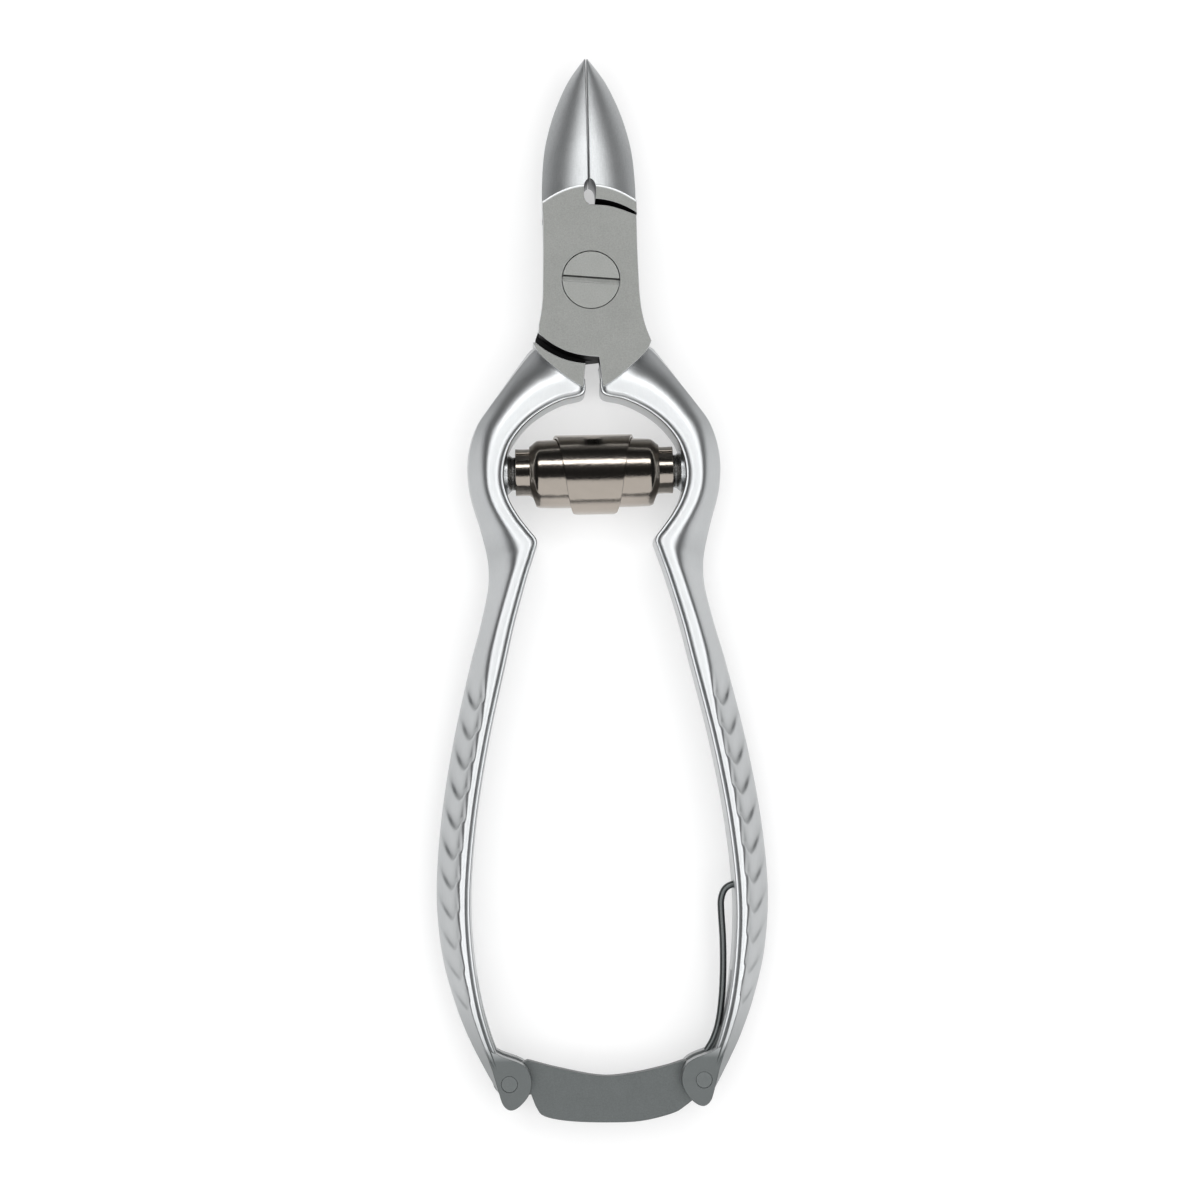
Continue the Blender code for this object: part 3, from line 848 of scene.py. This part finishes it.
def add_jaw(lever, side):
    """Adds a jaw, on the left with side -1 or on the right with side 1, and hollows it."""
    rings = []
    for station in smooth(JAW_STATIONS, 0.35):
        rings.append([Vector((-side * p.x, p.y, p.z)) for p in jaw_ring(station)])
    combine(lever, loft("jaw", rings), "UNION")
    place = Matrix.Translation(JAW_HOLLOW_CENTRE) @ Matrix.Diagonal((*JAW_HOLLOW_RADII, 1.0))
    bm = bmesh.new()
    bmesh.ops.create_uvsphere(bm, u_segments=64, v_segments=40, radius=1.0, matrix=place)
    combine(lever, new_object("hollow", bm), "DIFFERENCE")
    outline = smooth([(RELIEF_X - RELIEF_HALF, RELIEF_Y[0]), (RELIEF_X, RELIEF_Y[0] - RELIEF_HALF),
                      (RELIEF_X + RELIEF_HALF, RELIEF_Y[0]), (RELIEF_X + RELIEF_HALF, RELIEF_Y[1]),
                      (RELIEF_X, RELIEF_Y[1] + RELIEF_HALF), (RELIEF_X - RELIEF_HALF, RELIEF_Y[1])],
                     0.2, closed=True)
    combine(lever, slab("relief", outline, -6.0, 6.0), "DIFFERENCE")


def front_lever():
    """Left jaw, front plate with the screw's counterbore, right handle and wire hole."""
    lever, handle, grime = lever_blank("nipper_front_lever")
    add_jaw(lever, -1)
    shank_r, head_r = SCREW_SHANK_R + SCREW_PLAY, SCREW_HEAD_R + SCREW_PLAY
    head_seat = (0, 0, JOINT_HALF - SCREW_HEAD_DEPTH - SCREW_PLAY)
    combine(lever, rod("screw_bore", (0, 0, -1.0), (0, 0, 6.0), shank_r), "DIFFERENCE")
    combine(lever, rod("head_bore", head_seat, (0, 0, 6.0), head_r), "DIFFERENCE")
    hole = rod("wire_hole", (15.5, WIRE_HOLE_Y, 0.0), (19.6, WIRE_HOLE_Y, 0.0), WIRE_HOLE_R, 32)
    combine(handle, hole, "DIFFERENCE")
    combine(lever, handle, "UNION")
    paint_flute_shade(lever, grime)
    return lever


def rear_lever():
    """Right jaw, rear plate, left handle and its lug."""
    lever, handle, grime = lever_blank("nipper_rear_lever")
    half_turn = Matrix.Rotation(math.pi, 4, "Y")
    for obj in (lever, handle):
        obj.data.transform(half_turn)
    add_jaw(lever, 1)
    bore = rod("screw_bore", (0, 0, -6.0), (0, 0, 1.0), SCREW_SHANK_R + SCREW_PLAY)
    combine(lever, bore, "DIFFERENCE")
    combine(lever, handle, "UNION")
    paint_flute_shade(lever, [(half_turn @ point, value) for point, value in grime])
    return lever


# -------------------------------------------------------------------- small pieces

def pivot_screw():
    """Slotted screw, with its head flush in the front plate and its end in the rear one."""
    top = JOINT_HALF - SCREW_SUNK
    under = top - SCREW_HEAD_DEPTH
    screw = rod("nipper_pivot_screw", (0, 0, under), (0, 0, top), SCREW_HEAD_R, broken=0.07)
    shank = rod("shank", (0, 0, -top), (0, 0, top - 0.5), SCREW_SHANK_R, broken=0.15)
    combine(screw, shank, "UNION")
    width, depth = SCREW_SLOT
    low, high = (-6.0, -width / 2, top - depth), (6.0, width / 2, top + 1.0)
    cutter = box("driver_slot", low, high, SCREW_SLOT_TURN)
    soften = cutter.modifiers.new("rounded floor", "BEVEL")
    soften.width = SCREW_SLOT_SOFTENING
    soften.segments = 4
    freeze(cutter)
    combine(screw, cutter, "DIFFERENCE")
    return screw


def wound_strip(bm, columns, start_turn, end_turn, radius_at, edges_at, rows):
    """A strip wound about X: a grid whose rows follow the winding and columns its width."""
    grown = bmesh.ops.create_grid(bm, x_segments=columns, y_segments=rows, size=0.5)
    for vert in grown["verts"]:
        across, share = vert.co.x + 0.5, vert.co.y + 0.5
        turn = start_turn + (end_turn - start_turn) * share
        left, right = edges_at(turn)
        x = left + (right - left) * across
        radius = radius_at(turn, abs(x))
        angle = FULL_TURN * turn
        sag = BAND_SAG * (1.0 - min(1.0, turn)) - WINDING_LIFT
        vert.co = Vector((x, SPRING_Y - sag - radius * math.cos(angle), radius * math.sin(angle)))


def barrel_radius(turn, x):
    """The winding's radius after this many turns from the free end, tapered to the ends."""
    shoulder = 0.04 * max(0.0, x - 5.2) + 0.75 * ease((x - 7.3) / 1.3)
    lost = BARREL_R_LOST_PER_TURN * turn + LEG_R_LOST_PER_TURN * max(0.0, turn - LEG_START_TURN)
    return BARREL_R - lost - shoulder


def ring_radius(turn, x):
    """The end rings wind on inside the barrel."""
    lost = RING_R_LOST_PER_TURN * (turn - RING_START_TURN)
    return RING_R - lost + 0.04 * (x - RING_MIDDLE_X) ** 2


def band_edges(turn):
    """The outer wrap is one band that widens away from its free end."""
    corner = 0.42 * (1.0 - min(1.0, turn / 0.03)) ** 2
    half = 2.75 + 4.6 * turn ** 0.95 - corner
    return -half, half


def leg_edges(turn):
    """Inside the first turn each leg of the strip runs straight with a cut corner."""
    return 2.6, 8.45 - 0.75 * ease((1.18 - turn) / 0.16)


def ring_edges(turn):
    """The narrow end of each leg."""
    return 8.1, 10.4


def barrel_spring():
    """One strip wound into a double volute: an outer band, two legs and two end rings."""
    bm = bmesh.new()
    wound_strip(bm, 48, 0.0, BAND_END_TURN, barrel_radius, band_edges, 200)
    for side in (-1, 1):
        leg = bmesh.new()
        wound_strip(leg, 24, LEG_START_TURN, RING_START_TURN, barrel_radius, leg_edges, 260)
        wound_strip(leg, 12, RING_START_TURN, RING_END_TURN, ring_radius, ring_edges, 220)
        bmesh.ops.scale(leg, vec=(side, 1.0, 1.0), verts=leg.verts)
        part = bpy.data.meshes.new("leg")
        leg.to_mesh(part)
        leg.free()
        bm.from_mesh(part)
    obj = new_object("nipper_barrel_spring", bm)
    thick = obj.modifiers.new("strip thickness", "SOLIDIFY")
    thick.thickness = STRIP_THICKNESS
    thick.offset = 0.0
    rounded = obj.modifiers.new("strip edges", "BEVEL")
    rounded.width = STRIP_EDGE
    rounded.segments = 2
    rounded.limit_method = "ANGLE"
    freeze(obj)
    return obj


def spring_seat(name, side):
    """Stepped stud on a handle that holds one end of the barrel spring."""
    face = SEAT_FACE_X - SEAT_BEHIND
    profile = [(face, SEAT_R), (11.45, SEAT_R), (11.3, SEAT_R - 0.12), (10.95, 2.3), (10.8, 2.2),
               (8.9, 1.95), (8.55, 1.8), (8.4, 1.5), (8.4, 0.0), (face, 0.0)]
    profile = [(side * x, radius) for x, radius in profile]
    return turned(name, profile, (0.0, SPRING_Y, 0.0))


def bar_outline():
    """The catch bar: rounded heel, arched bar and a hook open towards the jaws."""
    heel = []
    for i in range(33):
        angle = math.radians(110.0 - 205.0 * i / 32)
        heel.append(CATCH_PIVOT.xy + HEEL_R * Vector((math.cos(angle), math.sin(angle))))
    lower = smooth([heel[-1], (10.4, -108.5), (8.6, -109.5), (4.5, -110.4), (0.0, -110.5),
                    (-5.0, -110.2), (-8.2, -109.5), (-9.2, -108.4), (-9.9, -106.6)], 0.4)
    hook = smooth([(-9.9, -106.6), (-12.7, -107.0), (-14.5, -105.9), (-15.0, -104.2),
                   (-14.7, -102.7)], 0.4)
    notch = [Vector((KEEPER.x - 1.3, KEEPER.y + 1.6))]
    for i in range(17):
        angle = math.pi + math.pi * i / 16
        notch.append(KEEPER.xy + NOTCH_R * Vector((math.cos(angle), math.sin(angle))))
    notch.append(Vector((KEEPER.x + NOTCH_R, -102.6)))
    upper = smooth([(-10.3, -102.15), (-6.2, -103.3), (-0.9, -104.4), (3.0, -104.25),
                    (7.5, -103.4), (10.3, -102.6)], 0.4)
    return heel + lower[1:-1] + hook + notch + upper


def catch_bar():
    """Flat bar that hooks the two handles together."""
    bar = slab("nipper_catch_bar", bar_outline(), -BAR_HALF, BAR_HALF, (-BAR_HALF, BAR_HALF))
    down, up = CATCH_PIVOT.copy(), CATCH_PIVOT.copy()
    down.z, up.z = -3.0, 3.0
    combine(bar, rod("rivet_hole", down, up, RIVET_R + BAR_PLAY, PIN_SIDES), "DIFFERENCE")
    return bar


def cross_pin(name, centre):
    """Pin through both cheeks of a lug, flush with them."""
    down, up = centre.copy(), centre.copy()
    down.z, up.z = PIN_SUNK - LUG_HALF, LUG_HALF - PIN_SUNK
    return rod(name, down, up, RIVET_R, PIN_SIDES, broken=0.06)


def catch_spring():
    """Bent wire from a hole in the right handle down to the heel of the catch bar."""
    route = smooth([(19.3, WIRE_HOLE_Y), (17.4, WIRE_HOLE_Y), (16.2, -80.3), (15.65, -81.6),
                    (15.6, -83.2), (15.75, -87.0), (15.7, -91.0), (15.45, -94.6), (14.95, -97.8),
                    (14.2, -100.0), (13.3, -101.5)], 0.35)
    curve = bpy.data.curves.new("catch_spring", "CURVE")
    curve.dimensions = "3D"
    curve.bevel_depth = WIRE_R
    curve.bevel_resolution = 6
    curve.use_fill_caps = True
    spline = curve.splines.new("POLY")
    spline.points.add(len(route) - 1)
    for point, place in zip(spline.points, route):
        point.co = (place.x, place.y, 0.0, 1.0)
    guide = bpy.data.objects.new("catch_spring_route", curve)
    bpy.context.scene.collection.objects.link(guide)
    graph = bpy.context.evaluated_depsgraph_get()
    mesh = bpy.data.meshes.new_from_object(guide.evaluated_get(graph))
    bpy.data.objects.remove(guide)
    obj = bpy.data.objects.new("nipper_catch_spring", mesh)
    bpy.context.scene.collection.objects.link(obj)
    return obj


# ----------------------------------------------------------------------- operators

class NIPPER_OT_levers(bpy.types.Operator):
    """Builds the two forged levers"""
    bl_idname = "nipper.levers"
    bl_label = "Levers"

    def execute(self, context):
        front = forged_finish("satin_chrome_front")
        settle(front_lever(), front, "front", "satin_chrome", "front_lever")
        rear = forged_finish("satin_chrome_rear")
        settle(rear_lever(), rear, "rear", "satin_chrome", "rear_lever")
        return {"FINISHED"}


class NIPPER_OT_screw(bpy.types.Operator):
    """Builds the slotted pivot screw"""
    bl_idname = "nipper.screw"
    bl_label = "Pivot Screw"

    def execute(self, context):
        ground = ground_finish("ground_steel", context.scene.nipper_colours.ground, 0.36)
        settle(pivot_screw(), ground, "rear", "ground_steel", "pivot_screw")
        return {"FINISHED"}


class NIPPER_OT_spring(bpy.types.Operator):
    """Builds the wound barrel spring and its two seats"""
    bl_idname = "nipper.spring"
    bl_label = "Barrel Spring"

    def execute(self, context):
        nickel = polished_finish("bright_nickel", context.scene.nipper_colours.nickel)
        spring = barrel_spring()
        settle(spring, nickel, None, "bright_nickel", "barrel_spring", sharp=40.0)
        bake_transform(spring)
        chrome = context.scene.nipper_colours.chrome
        stud = ground_finish("stud_steel", shade(chrome, 0.8), 0.22, 6000.0)
        for side, hand, body in ((1, "right", "front"), (-1, "left", "rear")):
            seat = spring_seat(f"nipper_spring_seat_{hand}", side)
            settle(seat, stud, body, "satin_chrome", f"spring_seat_{hand}")
        return {"FINISHED"}


class NIPPER_OT_catch(bpy.types.Operator):
    """Builds the catch bar, its pins and its wire spring"""
    bl_idname = "nipper.catch"
    bl_label = "Catch"

    def execute(self, context):
        dark = context.scene.nipper_colours.dark
        plate = ground_finish("dark_steel", dark, 0.36)
        wire = ground_finish("wire_steel", shade(dark, 1.1), 0.24, 5000.0)
        pin = ground_finish("pin_steel", shade(dark, 1.22), 0.42)
        settle(catch_bar(), plate, "catch", "dark_steel", "catch_bar")
        rivet = cross_pin("nipper_catch_rivet", CATCH_PIVOT)
        settle(rivet, pin, "front", "dark_steel", "catch_rivet")
        keeper = cross_pin("nipper_keeper_pin", KEEPER)
        settle(keeper, pin, "rear", "dark_steel", "keeper_pin")
        settle(catch_spring(), wire, "front", "dark_steel", "catch_spring")
        return {"FINISHED"}


# Softboxes: name, direction from the tool's middle, width and height in metres, and watts.
LIGHTS = [
    ("left_box", (-0.386, 0.0, 0.923), 0.90, 0.61, 3.4),
    ("right_box", (0.446, 0.0, 0.895), 0.90, 0.59, 3.55),
    ("top_strip", (0.0, 0.56, 0.82), 0.60, 0.13, 1.25),
    ("foot_card", (0.0, -0.765, 0.644), 0.90, 0.88, 2.7),
]
LIGHT_DISTANCE = 0.75
LIGHTS_AIM_Y = -40.0
SIDE_BOXES = ("left_box", "right_box")

# Floor, in metres.
FLOOR_HALF = 1.5
FLOOR_GAP = 0.0001
FLOOR_GREY = (0.46, 0.46, 0.46, 1.0)
FLOOR_GLOW = 0.5

# Camera, in drawing millimetres. The sensor's height only sets the unit of the lens.
CAMERA_EYE = Vector((-9.0, -54.0, 372.0))
CAMERA_AIM = Vector((0.45, -41.9, 0.0))
CAMERA_ROLL = math.radians(-1.15)
VIEW_HEIGHT = 158.7
SENSOR_HEIGHT = 24.0


def dim_dome(tree):
    """A studio dome that is dark overhead and a little lighter towards the horizon."""
    where = tree.nodes.new("ShaderNodeTexCoord")
    split = tree.nodes.new("ShaderNodeSeparateXYZ")
    span = tree.nodes.new("ShaderNodeMapRange")
    tree.links.new(where.outputs["Generated"], split.inputs[0])
    tree.links.new(split.outputs["Z"], span.inputs["Value"])
    span.inputs["From Min"].default_value = 0.0
    span.inputs["From Max"].default_value = 0.3
    span.inputs["To Min"].default_value = 0.34
    span.inputs["To Max"].default_value = 0.02
    back = tree.nodes["Background"]
    back.inputs["Color"].default_value = (0.96, 0.98, 1.0, 1.0)
    tree.links.new(span.outputs["Result"], back.inputs["Strength"])


class NIPPER_OT_stage(bpy.types.Operator):
    """Builds the pale floor, the soft studio lights and the camera"""
    bl_idname = "nipper.stage"
    bl_label = "Stage"

    def execute(self, context):
        bm = bmesh.new()
        bmesh.ops.create_grid(bm, x_segments=1, y_segments=1, size=FLOOR_HALF,
                              matrix=Matrix.Translation((0.0, 0.0, CAD_BOX[0][2] - FLOOR_GAP)))
        mesh = bpy.data.meshes.new("floor")
        bm.to_mesh(mesh)
        bm.free()
        floor = bpy.data.objects.new("floor", mesh)
        context.scene.collection.objects.link(floor)
        paper = Finish("floor_paper")
        paper.set(Base_Color=FLOOR_GREY, Roughness=0.9,
                  Emission_Color=(1.0, 1.0, 1.0, 1.0), Emission_Strength=FLOOR_GLOW)
        floor.data.materials.append(paper.material)
        middle = PIVOT + Vector((0.0, LIGHTS_AIM_Y, 0.0)) * MM
        away_from_spring = bpy.data.collections.new("not lit by the side boxes")
        away_from_spring.objects.link(bpy.data.objects["nipper_barrel_spring"])
        away_from_spring.collection_objects[0].light_linking.link_state = "EXCLUDE"
        for name, direction, width, height, power in LIGHTS:
            lamp = bpy.data.lights.new(name, "AREA")
            lamp.shape = "RECTANGLE"
            lamp.size, lamp.size_y = width, height
            lamp.energy = power
            obj = bpy.data.objects.new(name, lamp)
            away = Vector(direction).normalized()
            obj.location = middle + away * LIGHT_DISTANCE
            obj.rotation_euler = away.to_track_quat("Z", "Y").to_euler()
            context.scene.collection.objects.link(obj)
            if name in SIDE_BOXES:
                obj.light_linking.receiver_collection = away_from_spring
        world = bpy.data.worlds.new("studio")
        world.use_nodes = True
        dim_dome(world.node_tree)
        context.scene.world = world
        context.scene.view_settings.view_transform = "Standard"
        eye = PIVOT + CAMERA_EYE * MM
        aim = PIVOT + CAMERA_AIM * MM
        lens = bpy.data.cameras.new("camera")
        lens.sensor_fit = "VERTICAL"
        lens.sensor_height = SENSOR_HEIGHT
        lens.lens = SENSOR_HEIGHT * (eye - aim).length / (VIEW_HEIGHT * MM)
        camera = bpy.data.objects.new("camera", lens)
        back = (eye - aim).normalized()
        up = Matrix.Rotation(CAMERA_ROLL, 3, back) @ Vector((0.0, 1.0, 0.0))
        side = up.cross(back).normalized()
        turn = Matrix((side, back.cross(side), back)).transposed().to_4x4()
        camera.matrix_world = Matrix.Translation(eye) @ turn
        context.scene.collection.objects.link(camera)
        context.scene.camera = camera
        return {"FINISHED"}


class NIPPER_PT_panel(bpy.types.Panel):
    """Sidebar panel that lists the steps"""
    bl_idname = "NIPPER_PT_panel"
    bl_label = "Nail Nipper"
    bl_space_type = "VIEW_3D"
    bl_region_type = "UI"
    bl_category = "Nipper"

    def draw(self, context):
        layout = self.layout
        for group in (context.scene.nipper_sizes, context.scene.nipper_colours):
            for key in group.__annotations__:
                layout.prop(group, key)
        for step in STEPS:
            layout.operator(step.bl_idname)


STEPS = (NIPPER_OT_levers, NIPPER_OT_screw, NIPPER_OT_spring, NIPPER_OT_catch, NIPPER_OT_stage)
CLASSES = (NipperSizes, NipperColours, *STEPS, NIPPER_PT_panel)


def register():
    for item in CLASSES:
        bpy.utils.register_class(item)
    bpy.types.Scene.nipper_sizes = bpy.props.PointerProperty(type=NipperSizes)
    bpy.types.Scene.nipper_colours = bpy.props.PointerProperty(type=NipperColours)


def unregister():
    del bpy.types.Scene.nipper_colours
    del bpy.types.Scene.nipper_sizes
    for item in reversed(CLASSES):
        bpy.utils.unregister_class(item)


def main():
    """Builds every piece and the stage."""
    for obj in list(bpy.data.objects):
        if obj.name in ("Cube", "Light", "Camera"):
            bpy.data.objects.remove(obj)
    register()
    bpy.ops.nipper.levers()
    bpy.ops.nipper.screw()
    bpy.ops.nipper.spring()
    bpy.ops.nipper.catch()
    bpy.ops.nipper.stage()


if __name__ == "__main__":
    main()
